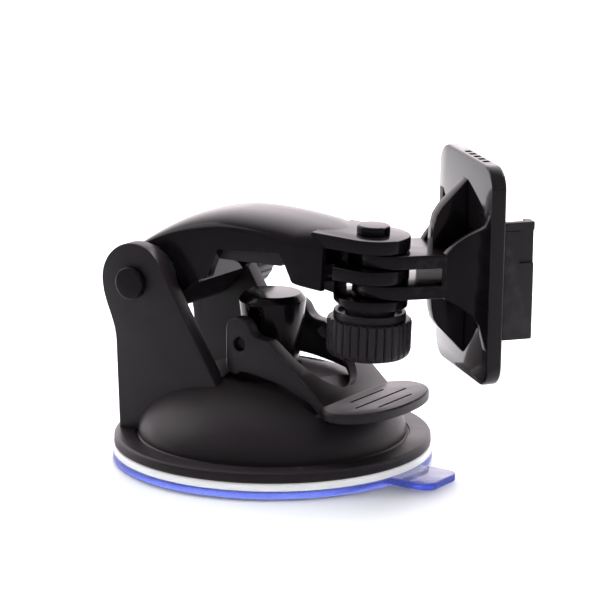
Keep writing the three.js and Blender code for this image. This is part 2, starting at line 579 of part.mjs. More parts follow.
function cameraSocket() {
  const low = HEAD.plateFace + PLATE.thickness + CONTACT_GAP;
  const top = low + SOCKET.depth;
  const half = SOCKET.halfWidth;
  const middle = layerTop(2) - JOINT.layer / 2;
  const bottom = middle - SOCKET.halfHeight;
  const floor = box([low, -half, bottom], [low + SOCKET.floor, half, middle + SOCKET.halfHeight - SOCKET.floorTop]);
  const stop = box([low, -half, bottom], [top, half, bottom + SOCKET.wall]);
  const sides = [-1, 1].map((side) => {
    const [inside, outside, lip] = [half - SOCKET.wall, half, half - SOCKET.wall - SOCKET.lip].map((y) => side * y);
    return join(box([low, Math.min(inside, outside), bottom], [top, Math.max(inside, outside), middle + SOCKET.halfHeight]),
      box([top - SOCKET.wall, Math.min(lip, outside), bottom], [top, Math.max(lip, outside), middle + SOCKET.halfHeight]));
  });
  const pocket = box([25.8, -half - 1, 3.6 + middle], [top + 1, -half + 0.6, 10.3 + middle]);
  const holes = plateScrewPlaces().flatMap(([y, z]) => [along('x', rod(1.2, 10, 40, 12), 0, y, z + plateCentre()),
    along('x', rod(2.3, low + SOCKET.floor - SOCKET.screwHead - 0.1, 40, 16), 0, y, z + plateCentre())]);
  return cut(join(floor, stop, ...sides), pocket, ...holes);
}

function plateScrew() {
  const face = HEAD.plateFace + PLATE.thickness + CONTACT_GAP + SOCKET.floor;
  const seat = face - SOCKET.screwHead - 0.1 + CONTACT_GAP;
  return along('x', turned([[0, HEAD.plateFace + 0.3], [1.0, HEAD.plateFace + 0.3], [1.0, seat], [2.0, seat],
    [2.0, seat + SOCKET.screwHead - 0.3], [1.7, face - 0.06], [0, face - 0.06]], 16));
}

// ---- assembly --------------------------------------------------------------------------------
const mount = new THREE.Group();
mount.name = 'suction_mount';

function place(name, manifold, material) {
  const mesh = new THREE.Mesh(toGeometry(manifold), material);
  mesh.name = name;
  mount.add(mesh);
}

place('protective_film', protectiveFilm(), MATERIAL.film);
place('suction_pad', suctionPad(), MATERIAL.gel);
place('base_housing', baseHousing(), MATERIAL.satinBlack);
place('pad_ring', padRing(), MATERIAL.nylon);
screwPlaces().forEach(([x, y], i) => place(`ring_screw_${i + 1}`, ringScrew().translate([x, y, 0]), MATERIAL.steel));

place('guide_post', guidePost(), MATERIAL.glossBlack);
place('plunger_stem', plungerStem(), MATERIAL.steel);
place('plunger_plate', plungerPlate(), MATERIAL.nylon);
place('plunger_screw', plungerScrew(), MATERIAL.steel);
place('return_spring', returnSpring(), MATERIAL.steel);
place('lever_pin', leverPin(), MATERIAL.steel);
place('release_lever', releaseLever(), MATERIAL.satinBlack);

const tiltStack = (manifold, y) => along('-y', manifold, PIVOT.x, y, PIVOT.z);
place('arm_shell', armShell(), MATERIAL.glossBlack);
place('arm_under_cover', armUnderCover(), MATERIAL.satinBlack);
coverScrewPlaces().forEach((x, i) => place(`cover_screw_${i + 1}`, coverScrew().translate([x, 0, 0]), MATERIAL.steel));
place('tilt_washer_near', tiltStack(tube(PIVOT.boreRadius, WASHER.radius, WASHER.inner, WASHER.outer), 0), MATERIAL.nylon);
place('tilt_washer_far', tiltStack(tube(PIVOT.boreRadius, WASHER.radius, -WASHER.outer, -WASHER.inner), 0), MATERIAL.nylon);
place('tilt_bolt', tiltStack(roundHeadBolt(-39), -EAR.outer), MATERIAL.glossBlack);
place('tilt_knob', tiltStack(thumbKnob(), EAR.outer + RUNNING_GAP), MATERIAL.satinBlack);
place('tilt_knob_insert', tiltStack(knobInsert(), EAR.outer + RUNNING_GAP), MATERIAL.brass);

const knobFace = LOWEST_EAR.knobFace;
const lowestFace = layerTop(4) - LOWEST_EAR.thickness;
place('joint_washer', atJoint(tube(JOINT.boreRadius, 5.0, knobFace - KNOB.recess + RUNNING_GAP, lowestFace - CONTACT_GAP)),
  MATERIAL.nylon);
place('joint_bolt', atJoint(roundHeadBolt(knobFace - 7.7)), MATERIAL.glossBlack);
place('joint_knob', atJoint(thumbKnob().translate([0, 0, knobFace])), MATERIAL.satinBlack);
place('joint_knob_insert', atJoint(knobInsert().translate([0, 0, knobFace])), MATERIAL.brass);

place('mount_head', headPlace(mountHead()), MATERIAL.glossBlack);
place('camera_plate', headPlace(leaning(cameraPlate())), MATERIAL.glossBlack);
place('camera_socket', headPlace(leaning(cameraSocket())), MATERIAL.satinBlack);
plateScrewPlaces().forEach(([y, z], i) => place(`plate_screw_${i + 1}`,
  headPlace(leaning(plateScrew().translate([0, y, z + plateCentre()]))), MATERIAL.steel));

export default mount;
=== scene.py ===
"""Looks of the dash-camera suction mount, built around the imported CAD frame.

Lengths in this script are millimetres unless a name says otherwise; MM turns them into Blender's metres.
"""
import json
import math

import bmesh
import bpy
from mathutils import Matrix, Vector


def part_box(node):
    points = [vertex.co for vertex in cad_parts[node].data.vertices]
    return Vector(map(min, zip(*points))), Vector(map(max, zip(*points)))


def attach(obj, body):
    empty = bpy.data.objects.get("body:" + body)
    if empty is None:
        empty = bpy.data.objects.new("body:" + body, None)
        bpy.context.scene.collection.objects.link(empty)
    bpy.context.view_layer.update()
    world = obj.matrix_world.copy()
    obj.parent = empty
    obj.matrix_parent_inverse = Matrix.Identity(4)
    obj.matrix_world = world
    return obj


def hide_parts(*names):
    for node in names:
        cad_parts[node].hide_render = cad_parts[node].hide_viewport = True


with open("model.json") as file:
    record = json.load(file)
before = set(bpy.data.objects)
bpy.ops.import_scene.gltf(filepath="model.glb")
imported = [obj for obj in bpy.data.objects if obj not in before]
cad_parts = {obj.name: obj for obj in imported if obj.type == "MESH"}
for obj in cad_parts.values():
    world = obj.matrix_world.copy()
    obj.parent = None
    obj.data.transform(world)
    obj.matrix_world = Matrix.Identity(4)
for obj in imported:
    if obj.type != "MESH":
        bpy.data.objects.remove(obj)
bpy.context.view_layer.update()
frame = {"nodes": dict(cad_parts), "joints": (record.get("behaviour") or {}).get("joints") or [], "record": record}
MM = 0.001

# ---- places that come from the frame ---------------------------------------------------------
JOINTS = {joint["name"]: joint for joint in frame["joints"]}
MOUNTS = {mount["name"]: mount for mount in frame["record"]["mounts"]}


def low(node):
    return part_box(node)[0] / MM


def high(node):
    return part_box(node)[1] / MM


PIVOT = Vector(JOINTS["arm_tilt"]["pos_m"]) / MM
PIN = Vector(JOINTS["lever_hinge"]["pos_m"]) / MM
HEAD_ORIGIN = Vector(JOINTS["head_turn"]["pos_m"]) / MM
HEAD_AXIS = Vector(JOINTS["head_turn"]["axis"]).normalized()
SEAT_NORMAL = Vector(MOUNTS["camera_seat"]["axis"]).normalized()
FORWARDS = Vector((1, 0, 0))


def axes_frame(origin, x_axis, z_axis):
    """A matrix whose X and Z run along two directions at right angles, with its origin in millimetres."""
    z = z_axis.normalized()
    y = z.cross(x_axis).normalized()
    x = y.cross(z)
    matrix = Matrix((x, y, z)).transposed().to_4x4()
    matrix.translation = origin
    return matrix


def across(y, outward):
    """A frame on the tilt axis whose Z points along +Y (outward 1) or -Y (outward -1)."""
    return axes_frame(Vector((PIVOT.x, y, PIVOT.z)), FORWARDS, Vector((0, outward, 0)))


LEVEL = Matrix.Identity(4)
AT_PIN = axes_frame(PIN, FORWARDS, Vector((0, -1, 0)))
AT_JOINT = axes_frame(HEAD_ORIGIN, FORWARDS, HEAD_AXIS)
AT_HEAD = axes_frame(HEAD_ORIGIN, SEAT_NORMAL, HEAD_AXIS)

# ---- driving sizes; bores, hinges and mating faces match the CAD model -------------------------
# film and base
TAB_HALF_WIDTH = 5.7
TAB_CORNER = 2.6
TAB_OVERLAP = 6                    # how far the film's tab reaches in under the rim
FLANGE_TOP = 5.17
DOME_RADIUS = 27.5
DOME_HEIGHT = 14.4
DOME_WALL = 2.2
HOLLOW_HEIGHT = 9.6                # of the space under the dome, above the flange
POST_HOLE = 5.9
EAR_INNER = 12.0
EAR_OUTER = 15.5
EAR_RADIUS = 8.0

# guide post and lever
POST_RADIUS = 5.5
POST_BORE = 3.3
POST_FOOT = 11
POST_FOOT_RADIUS = 8
POST_CEILING = 31.2                # top of the bore inside the post
PIN_BORE = 1.5
LEVER_TOP = 15.7
LEVER_BOTTOM = 13.6
CHEEK_INNER = 9.0
CHEEK_OUTER = 12.0
WEB_LINE = [(6.9, 27.1), (14.8, 20.7), (20.4, LEVER_TOP)]
SLOT_CENTRE = (10, 0)
SLOT_RADIUS = 7.5

# arm
ARM_HALF = 10.4
ARM_KNUCKLE = 7.7                  # radius of the arm's round end between the ears
CROWN = 3.4                        # how far the arm's top is rounded off towards its flanks
CROWN_AT_KNUCKLE = 1.2
CROWN_RISE = (-30, -10)            # where it grows from one to the other
SEAM = 0.735                       # place of the arm's parting line, as a share of its half width
SEAM_EDGE = 0.012                  # half width of its groove, as a share as well
SEAM_DEPTH = 0.14
WAIST_START = 11.7
WAIST_END = 18.6
WAIST_HALF = 7.45                  # half width of the arm where it meets the joint
NECK_HALF = 5.2                    # half width of the neck between the fork's prongs
NECK_SHOULDER = -4.7

# joint, its bolts and knobs
TONGUE = 2.8
TONGUE_STEP = 3.1
EYE_RADIUS = 7.5
SWING_RADIUS = 9.5
KEEL_START = -10.8
KEEL_END = -7.2
KEEL_HALF = 2.4
LOWEST_EAR = (-14.4, -12.4)
BOLT_RADIUS = 2.0
BOLT_BORE = 2.3
BOLT_HEAD = 3.35
BOLT_HEAD_HEIGHT = 1.8
RIBS = 30
RIB_DEPTH = 0.42
KNOB_RADIUS = 8.5
KNOB_COLLAR = 7.3
KNOB_LENGTH = 9.35
JOINT_KNOB_FACE = -15.6

# camera head
PRONG_OFFSET = 3.9
FORK_END = 13.4
FORK_CENTRE = -7.6
WALL_START = 12.8
WALL_FLARE = 18.6                  # where the flared walls start to turn into the plate
FIN_HALF = 1.6
PLATE_FACE = 19.45
PLATE_INSIDE = PLATE_FACE - 0.05   # where the walls and the fin end, just short of the plate
PLATE_THICKNESS = 3.13
PLATE_CENTRE = -7.05
PLATE_HALF_WIDTH = 14.6
PLATE_HALF_HEIGHT = 22.4
PLATE_CORNER = 4.6
RAIL_HALF_WIDTH = 14.0
RAIL_HALF_HEIGHT = 12.0
RAIL_WALL = 1.5
SOCKET_FLOOR = 1.8
SOCKET_DEPTH = 6.3
SCREW_PLACES = ((-8, -9), (-8, 5), (8, -9), (8, 5))
SCREW_BORE = 1.2
SCREW_HEAD_BORE = 2.3

plate_lean = Vector((AT_HEAD @ FORWARDS - HEAD_ORIGIN)).angle(SEAT_NORMAL)
AT_PLATE = (AT_HEAD @ Matrix.Translation((PLATE_FACE, 0, PLATE_CENTRE)) @ Matrix.Rotation(-plate_lean, 4, "Y")
            @ Matrix.Translation((-PLATE_FACE, 0, -PLATE_CENTRE)))


# ---- curves and outlines ----------------------------------------------------------------------
def curved_on(path, near_handle, far_handle, end, steps=12):
    """A path continued by a cubic curve from its last point."""
    points = []
    for i in range(1, steps + 1):
        t = i / steps
        a, b, c, d = (1 - t) ** 3, 3 * t * (1 - t) ** 2, 3 * t * t * (1 - t), t ** 3
        corners = zip(path[-1], near_handle, far_handle, end)
        points.append(tuple(a * w + b * x + c * y + d * z for w, x, y, z in corners))
    return path + points


def arc(centre, radius, start, end, steps=16):
    """Points on a circle from one angle to another, in degrees."""
    angles = [math.radians(start + (end - start) * i / steps) for i in range(steps + 1)]
    return [(centre[0] + radius * math.cos(a), centre[1] + radius * math.sin(a)) for a in angles]


def filleted(points, radius, steps=4, closed=True):
    """A path with its corners rounded; radius is one number or one per point."""
    nearly_straight = math.radians(86)
    longest_share = 0.48
    count = len(points)
    radii = radius if isinstance(radius, (list, tuple)) else [radius] * count
    result = []
    for i, point in enumerate(points):
        if radii[i] <= 0 or (not closed and i in (0, count - 1)):
            result.append(point)
            continue
        here = Vector(point)
        back = Vector(points[i - 1]) - here
        ahead = Vector(points[(i + 1) % count]) - here
        half = back.angle(ahead) / 2
        if half > nearly_straight:
            result.append(point)
            continue
        reach = min(radii[i] / math.tan(half), back.length * longest_share, ahead.length * longest_share)
        start, end = here + back.normalized() * reach, here + ahead.normalized() * reach
        for step in range(steps + 1):
            t = step / steps
            result.append(tuple(start * (1 - t) ** 2 + here * 2 * t * (1 - t) + end * t * t))
    return result


def stadium(half_width, half_height, corner, centre=(0, 0), steps=8):
    """A rectangle with round corners."""
    cx, cy = centre
    x, y = half_width - corner, half_height - corner
    corners = [(cx + x, cy - y, -90), (cx + x, cy + y, 0), (cx - x, cy + y, 90), (cx - x, cy - y, 180)]
    return [p for px, py, start in corners for p in arc((px, py), corner, start, start + 90, steps)]


def rectangle(left, right, bottom, top):
    return [(left, bottom), (right, bottom), (right, top), (left, top)]


def height_at(path, x):
    """The second coordinate of a path where its first one is x."""
    for (x0, y0), (x1, y1) in zip(path, path[1:]):
        if x <= x1 + 1e-6:
            return y0 + (y1 - y0) * (x - x0) / max(x1 - x0, 1e-9)
    return path[-1][1]


def soft_step(value, start, end):
    """0 before start, 1 after end and a smooth S-curve between them."""
    t = min(max((value - start) / (end - start), 0.0), 1.0)
    return t * t * (3 - 2 * t)


def sided(side, inner, outer):
    """The two limits of something that lies on one side of the middle, the lower one first."""
    return sorted((side * inner, side * outer))


# ---- meshes -----------------------------------------------------------------------------------
def metres(matrix):
    """The same placement with its origin in metres."""
    result = matrix.copy()
    result.translation = matrix.translation * MM
    return result


SHARP = 32                         # degrees; a flatter edge is shaded smooth


def mesh_object(name, bm, matrix=LEVEL, sharp=SHARP):
    """Turns a bmesh in millimetres into an object in metres, shaded smooth up to an angle."""
    bmesh.ops.remove_doubles(bm, verts=bm.verts, dist=1e-4)
    bm.transform(matrix)
    bmesh.ops.recalc_face_normals(bm, faces=bm.faces)
    bmesh.ops.scale(bm, vec=(MM, MM, MM), verts=bm.verts)
    mesh = bpy.data.meshes.new(name)
    bm.to_mesh(mesh)
    bm.free()
    mesh.shade_smooth()
    mesh.set_sharp_from_angle(angle=math.radians(sharp))
    piece = bpy.data.objects.new(name, mesh)
    bpy.context.scene.collection.objects.link(piece)
    return piece


def bevel_edges(bm, width):
    """Rounds every edge that is sharper than 30 degrees."""
    limit = math.radians(30)
    edges = [e for e in bm.edges if len(e.link_faces) == 2 and e.calc_face_angle(0) > limit]
    bmesh.ops.bevel(bm, geom=edges, offset=width, segments=3, profile=0.5, affect="EDGES", clamp_overlap=True)


PLANES = {
    "XY": lambda a, b, h: (a, b, h),
    "XZ": lambda a, b, h: (a, h, b),
    "YZ": lambda a, b, h: (h, a, b),
}


def prism(outline, start, end, bevel=0.25, plane="XY"):
    """A closed outline pulled from one height to another, with rounded edges, as a bmesh.

    plane XY stands along Z, XZ runs along Y, and YZ runs along X.
    """
    lift = PLANES[plane]
    bm = bmesh.new()
    rings = [[bm.verts.new(lift(a, b, h)) for a, b in outline] for h in (start, end)]
    count = len(outline)
    bm.faces.new(rings[0])
    bm.faces.new(rings[1])
    for i in range(count):
        bm.faces.new((rings[0][i], rings[0][(i + 1) % count], rings[1][(i + 1) % count], rings[1][i]))
    bmesh.ops.recalc_face_normals(bm, faces=bm.faces)
    if bevel > 0:
        bevel_edges(bm, bevel)
    return bm


def turned(profile, segments=96, radius_at=None):
    """A path of (radius, height) turned about Z. radius_at(radius, angle) may reshape it."""
    on_axis = 1e-6
    bm = bmesh.new()
    rings = []
    for radius, height in profile:
        if radius < on_axis:
            rings.append([bm.verts.new((0, 0, height))])
            continue
        ring = []
        for i in range(segments):
            angle = 2 * math.pi * i / segments
            r = radius_at(radius, angle) if radius_at else radius
            ring.append(bm.verts.new((r * math.cos(angle), r * math.sin(angle), height)))
        rings.append(ring)
    pairs = list(zip(rings, rings[1:]))
    if profile[0][0] > on_axis:
        pairs.append((rings[-1], rings[0]))
    for a, b in pairs:
        for i in range(segments):
            k = (i + 1) % segments
            if len(a) == 1 and len(b) == 1:
                continue
            if len(a) == 1:
                bm.faces.new((a[0], b[i], b[k]))
            elif len(b) == 1:
                bm.faces.new((a[i], a[k], b[0]))
            else:
                bm.faces.new((a[i], a[k], b[k], b[i]))
    bmesh.ops.recalc_face_normals(bm, faces=bm.faces)
    return bm


def loft(rings):
    """A closed skin over rings with the same number of points, capped at both ends."""
    bm = bmesh.new()
    rows = [[bm.verts.new(p) for p in ring] for ring in rings]
    count = len(rows[0])
    for a, b in zip(rows, rows[1:]):
        for i in range(count):
            bm.faces.new((a[i], a[(i + 1) % count], b[(i + 1) % count], b[i]))
    bm.faces.new(rows[0])
    bm.faces.new(rows[-1])
    bmesh.ops.recalc_face_normals(bm, faces=bm.faces)
    return bm


def block(x, y, z, bevel=0.2):
    """A rounded box between pairs of limits."""
    return prism(rectangle(y[0], y[1], z[0], z[1]), x[0], x[1], bevel, "YZ")


def combine(piece, others, operation):
    """Joins, cuts or overlaps a piece with others, which are then removed."""
    for other in others:
        modifier = piece.modifiers.new("join", "BOOLEAN")
        modifier.operation = operation
        modifier.solver = "MANIFOLD"
        modifier.object = other
        mesh = bpy.data.meshes.new_from_object(piece.evaluated_get(bpy.context.evaluated_depsgraph_get()))
        piece.modifiers.clear()
        piece.data = mesh
    for other in others:
        bpy.data.objects.remove(other)
    piece.data.shade_smooth()
    piece.data.set_sharp_from_angle(angle=math.radians(SHARP))
    return piece


def tool(bm, matrix=LEVEL):
    """A mesh that is joined to a piece, or cut from it, and then gone."""
    return mesh_object("tool", bm, matrix)


def drill(radius, start, end, matrix, segments=48):
    """The tool for a round hole along a frame's Z."""
    return tool(turned([(0, start), (radius, start), (radius, end), (0, end)], segments), matrix)


def tilt_bore():
    """The tool for the hole that the tilt bolt runs through."""
    return drill(BOLT_BORE, -20, 20, across(0, -1))


def joint_bore(matrix):
    """The tool for the hole that the joint's bolt runs through."""
    return drill(BOLT_BORE, -30, 5, matrix)


def finish_piece(piece, body, material, node):
    """Gives a piece its material and body, and hides the CAD node it stands for."""
    piece.data.materials.clear()
    piece.data.materials.append(material)
    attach(piece, body)
    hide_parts(node)
    return piece


# ---- materials --------------------------------------------------------------------------------
class Nodes:
    """A short way to add and link the shader nodes of a material or a world."""

    def __init__(self, owner, shader="Principled BSDF"):
        owner.use_nodes = True
        self.owner = owner
        self.tree = owner.node_tree
        self.shader = self.tree.nodes[shader]

    def feed(self, socket, value):
        """Links a socket to another node's output, or sets its constant."""
        if isinstance(value, bpy.types.NodeSocket):
            self.tree.links.new(value, socket)
        else:
            socket.default_value = value

    def add(self, kind, inputs=None, **settings):
        node = self.tree.nodes.new(kind)
        for key, value in settings.items():
            setattr(node, key, value)
        for key, value in (inputs or {}).items():
            self.feed(node.inputs[key], value)
        return node

    def place(self, output="Object"):
        return self.add("ShaderNodeTexCoord").outputs[output]

    def calculate(self, operation, *values):
        return self.add("ShaderNodeMath", dict(enumerate(values)), operation=operation).outputs[0]

    def along(self, vector, direction):
        """How far a vector reaches in a direction."""
        inputs = {0: vector, 1: direction}
        return self.add("ShaderNodeVectorMath", inputs, operation="DOT_PRODUCT").outputs["Value"]

    def noise(self, scale, detail=3.0, roughness=0.5, stretch=(1, 1, 1)):
        """Noise fixed to the piece; scale counts its features per metre."""
        mapped = self.add("ShaderNodeMapping", {"Vector": self.place(), "Scale": stretch}).outputs[0]
        inputs = {"Vector": mapped, "Scale": scale, "Detail": detail, "Roughness": roughness}
        return self.add("ShaderNodeTexNoise", inputs).outputs["Fac"]

    def ramp(self, value, low_value, high_value, from_low=0.0, from_high=1.0, **settings):
        """Maps a range of a value onto another range."""
        inputs = {"Value": value, "From Min": from_low, "From Max": from_high,
                  "To Min": low_value, "To Max": high_value}
        return self.add("ShaderNodeMapRange", inputs, **settings).outputs[0]

    def mix(self, factor, first, second):
        """A blend of two colours."""
        return self.add("ShaderNodeMix", {0: factor, 6: first, 7: second}, data_type="RGBA").outputs[2]

    def bump(self, height, strength, distance, normal=None):
        inputs = {"Height": height, "Strength": strength, "Distance": distance * MM}
        if normal is not None:
            inputs["Normal"] = normal
        return self.add("ShaderNodeBump", inputs).outputs[0]

    def set(self, **values):
        """Feeds the shader's own inputs, with _ for each space in their names, and returns the owner."""
        for key, value in values.items():
            self.feed(self.shader.inputs[key.replace("_", " ")], value)
        return self.owner


def opaque(colour, factor=1.0, lift=0.0):
    """A colour made lighter or darker, with its alpha."""
    return tuple(min(1.0, c * factor + lift) for c in colour) + (1.0,)


def moulded_plastic(name, colour, roughness, grain=1400.0, grain_depth=0.02, coat=0.0, specular=0.5):
    """Black moulded plastic: spark-eroded grain, slight flow marks, finger smudges and paler worn edges."""
    n = Nodes(bpy.data.materials.new(name))
    flow = n.ramp(n.noise(90.0, 4.0, 0.6, (1, 1, 2.5)), 0.0, 0.35, 0.35, 0.75)
    edge = n.add("ShaderNodeNewGeometry").outputs["Pointiness"]
    edge_wear = n.ramp(edge, 0.0, 0.5, 0.53, 0.62)
    patch = n.ramp(n.noise(420.0, 2.0), 0.0, 1.0, 0.42, 0.62)
    wear = n.calculate("MULTIPLY", edge_wear, patch)
    tinted = n.mix(flow, opaque(colour), opaque(colour, 1.5))
    worn = n.mix(wear, tinted, opaque(colour, 2.6, 0.012))
    smudged = n.ramp(n.noise(55.0, 5.0, 0.65), roughness * 0.8, roughness * 1.25, 0.3, 0.7)
    grained = n.bump(n.noise(grain, 2.0, 0.6), 0.35, grain_depth)
    scratched = n.bump(n.noise(260.0, 2.0, 0.5, (1, 14, 1)), 0.05, 0.02, grained)
    return n.set(Base_Color=worn, Roughness=smudged, Normal=scratched,
                 Coat_Weight=coat, Coat_Roughness=0.08, Specular_IOR_Level=specular)


def plated_metal(name, colour, roughness):
    """Turned and plated metal with fine tool marks."""
    n = Nodes(bpy.data.materials.new(name))
    marks = n.noise(700.0, 3.0, 0.6, (1, 1, 12))
    stain = n.ramp(n.noise(160.0, 4.0, 0.6), 0.0, 0.6, 0.35, 0.75)
    return n.set(Base_Color=n.mix(stain, opaque(colour), opaque(colour, 0.7)), Metallic=1.0,
                 Roughness=n.ramp(marks, roughness * 0.75, roughness * 1.3, 0.3, 0.7),
                 Normal=n.bump(marks, 0.2, 0.02))


def clear_gel(name):
    """Milky clear polyurethane gel, with a faint painted glow that brightens it where the lamps leave it dim."""
    n = Nodes(bpy.data.materials.new(name))
    cloud = n.noise(120.0, 3.0)
    tone = n.mix(n.ramp(cloud, 0.0, 1.0, 0.3, 0.7), (0.95, 0.96, 0.98, 1), (0.99, 0.99, 1.0, 1))
    return n.set(Base_Color=tone, Roughness=n.ramp(cloud, 0.12, 0.25, 0.3, 0.7),
                 Transmission_Weight=0.25, IOR=1.45, Subsurface_Weight=0.3, Subsurface_Scale=0.003,
                 Normal=n.bump(n.noise(300.0, 2.0), 0.1, 0.03),
                 # The emission is painted light: a glow that brightens the gel's dimly lit sides, not light the
                 # gel gives off.
                 Emission_Color=(1.0, 0.98, 0.95, 1), Emission_Strength=0.2)


def blue_film(name):
    """Clear film with a blue tint that gathers at its cut edges, and a faint painted blue glow that brightens it.
    """
    n = Nodes(bpy.data.materials.new(name))
    cloud = n.noise(80.0, 3.0)
    level = n.add("ShaderNodeSeparateXYZ", {0: n.place("Normal")}).outputs["Z"]
    flat = n.ramp(n.calculate("ABSOLUTE", level), 0.0, 1.0, 0.35, 0.95)
    face = n.mix(n.ramp(cloud, 0.0, 1.0, 0.3, 0.7), (0.86, 0.87, 1.0, 1), (0.92, 0.93, 1.0, 1))
    return n.set(Base_Color=n.mix(flat, (0.20, 0.28, 0.96, 1), face),
                 Roughness=n.ramp(cloud, 0.05, 0.14, 0.3, 0.7), Transmission_Weight=0.88, IOR=1.35,
                 Normal=n.bump(n.noise(60.0, 2.0), 0.08, 0.05),
                 # The emission is painted light: a faint blue glow that brightens the film, not light the film
                 # gives off.
                 Emission_Color=(0.16, 0.22, 0.9, 1), Emission_Strength=0.05)


SATIN = moulded_plastic("satin_black_plastic", (0.024, 0.0195, 0.023), 0.36, grain_depth=0.03)
DOME_SATIN = moulded_plastic("soft_black_plastic", (0.023, 0.0185, 0.022), 0.40,
                             grain=1800.0, grain_depth=0.015, specular=0.4)
GLOSS = moulded_plastic("gloss_black_plastic", (0.006, 0.0045, 0.006), 0.17,
                        grain=900.0, grain_depth=0.006, coat=0.1, specular=0.4)
MIRROR_GLOSS = moulded_plastic("polished_black_plastic", (0.008, 0.007, 0.008), 0.06,
                               grain=500.0, grain_depth=0.002, coat=0.6)
NYLON = moulded_plastic("dull_black_nylon", (0.022, 0.021, 0.022), 0.55, grain_depth=0.03)
STEEL = plated_metal("plated_steel", (0.52, 0.52, 0.54), 0.28)
BLACKENED = plated_metal("blackened_steel", (0.05, 0.048, 0.05), 0.4)
BRASS = plated_metal("turned_brass", (0.62, 0.46, 0.2), 0.3)
GEL = clear_gel("clear_gel")
FILM = blue_film("blue_tinted_film")


# ---- base -------------------------------------------------------------------------------------
def rounded_disc(name, rim, bottom, top, edge):
    """A flat round disc whose rim is rounded by edge."""
    profile = filleted([(0, bottom), (rim, bottom), (rim, top), (0, top)], edge, closed=False)
    return mesh_object(name, turned(profile, 160))


def protective_film():
    tab_end, rim, top = high("protective_film")
    disc = rounded_disc("protective_film_disc", rim, 0, top, 0.3)
    tab_start = rim - TAB_OVERLAP
    tab_centre = ((tab_start + tab_end) / 2, 0)
    tab_outline = stadium((tab_end - tab_start) / 2, TAB_HALF_WIDTH, TAB_CORNER, tab_centre)
    film = combine(disc, [tool(prism(tab_outline, 0, top))], "UNION")
    return finish_piece(film, "base", FILM, "protective_film")


def suction_pad():
    node = "suction_pad"
    pad = rounded_disc("suction_pad_gel", high(node).y, low(node).z, high(node).z, 0.35)
    return finish_piece(pad, "base", GEL, node)


def dome_profile(radius, height, steps):
    """A quarter of an ellipse from the flange up to the hole for the post."""
    sweep = math.acos(POST_HOLE / radius)
    angles = [sweep * i / steps for i in range(steps + 1)]
    return [(radius * math.cos(a), FLANGE_TOP + height * math.sin(a)) for a in angles]


def ear_outline():
    """An ear seen from the side: up its back edge, round its top and down its sloping front edge."""
    root = FLANGE_TOP - 0.3
    back = curved_on([(-27.6, root), (-28.3, 23.5)], (-28.6, 28), (-31, 30.4), (-31.6, PIVOT.z - 1.4))
    path = back[:-1] + arc((PIVOT.x, PIVOT.z), EAR_RADIUS, 187, 66, 28)
    path = curved_on(path, (-19.2, 42.7), (-17.6, 41.0), (-16.4, 38.9), 6)
    return path + [(-2.2, 15.4), (-2.2, root)]


def base_housing():
    bottom, rim = low("base_housing").z, high("base_housing").y
    inner = DOME_RADIUS - DOME_WALL
    flange = filleted([(inner, bottom), (rim, bottom), (rim, FLANGE_TOP), (DOME_RADIUS + 0.7, FLANGE_TOP)],
                      [0, 0.5, 0.7, 0], closed=False)
    groove = [(DOME_RADIUS + 0.55, FLANGE_TOP - 0.35), (DOME_RADIUS + 0.3, FLANGE_TOP - 0.35)]
    skin = dome_profile(DOME_RADIUS, DOME_HEIGHT, 40)
    under = dome_profile(inner, HOLLOW_HEIGHT, 12)
    shell = mesh_object("base_moulding", turned(flange + groove + skin + under[::-1], 192))
    ears = [tool(prism(ear_outline(), *sided(side, EAR_INNER, EAR_OUTER), 0.3, "XZ")) for side in (-1, 1)]
    combine(shell, ears, "UNION")
    seat_outline = [(11.4, 19.2), (17.6, 13.3), (19.6, 13.3), (20.6, 12.2), (26, 12.2), (26, 20), (11.4, 20)]
    lever_seat = tool(prism(seat_outline, -12.4, 12.4, 0, "XZ"))
    cheek_rooms = [tool(prism(rectangle(-4.6, 7.4, 17.7, 22), *sided(side, 8.5, 12.5), 0, "XZ"))
                   for side in (-1, 1)]
    combine(shell, [tilt_bore(), lever_seat, *cheek_rooms], "DIFFERENCE")
    return finish_piece(shell, "base", DOME_SATIN, "base_housing")


# ---- post and lever ---------------------------------------------------------------------------
def guide_post():
    top = high("guide_post").z
    outline = [(POST_BORE, POST_FOOT), (POST_FOOT_RADIUS, POST_FOOT), (POST_FOOT_RADIUS, 14.1),
               (POST_RADIUS, 14.1), (POST_RADIUS, 21), (6.9, top - 1.3), (5.9, top), (0, top),
               (0, POST_CEILING), (POST_BORE, POST_CEILING)]
    profile = filleted(outline, [0, 0.3, 0.8, 0, 2, 1.0, 0.6, 0, 0, 0], 6)
    post = mesh_object("glossy_guide_post", turned(profile))
    slot = tool(prism(stadium(1.5, 4.6, 1.4, (0, 27.8)), -9, 9, 0, "XZ"))
    return finish_piece(combine(post, [slot], "DIFFERENCE"), "base", GLOSS, "guide_post")


def cheek_outline():
    """A cheek of the lever seen from the side: up over the pin, down to the paddle and back underneath."""
    foot = (-3.3, 20.9)
    path = curved_on([foot, (-3.3, 28.2)], (-3.3, 29.9), (-2.1, 31.0), (-0.5, 31.0))
    path = curved_on(path, (1.0, 31.0), (1.7, 30.3), (2.2, 29.4), 8)
    path = curved_on(path, (2.8, 28.2), (3.6, 27.4), (5.0, 27.3), 8)
    path += WEB_LINE[:2] + [(20.3, LEVER_TOP), (21.6, 14.9), (21.2, 12.7)]
    path = curved_on(path, (19.6, 14.4), (14.0, 17.8), (9.0, 18.7))
    path = curved_on(path, (5.2, 19.5), (2.6, 19.9), (0.4, 19.9))
    path = curved_on(path, (-0.2, 19.9), (-0.2, 19.3), (-0.9, 19.3), 5)
    return curved_on(path, (-2.4, 19.3), (-3.3, 20.0), foot, 7)[:-1]


def paddle_outline():
    """The paddle seen from above: one half, then its mirror image."""
    tip, half, _ = high("release_lever")
    near = curved_on([(19.0, -11.6)], (20.6, -12.6), (21.4, -half), (24.4, -half))
    near = curved_on(near, (29.6, -half), (tip, -9.5), (tip, 0), 20)
    return near + [(x, -y) for x, y in near[-2::-1]]


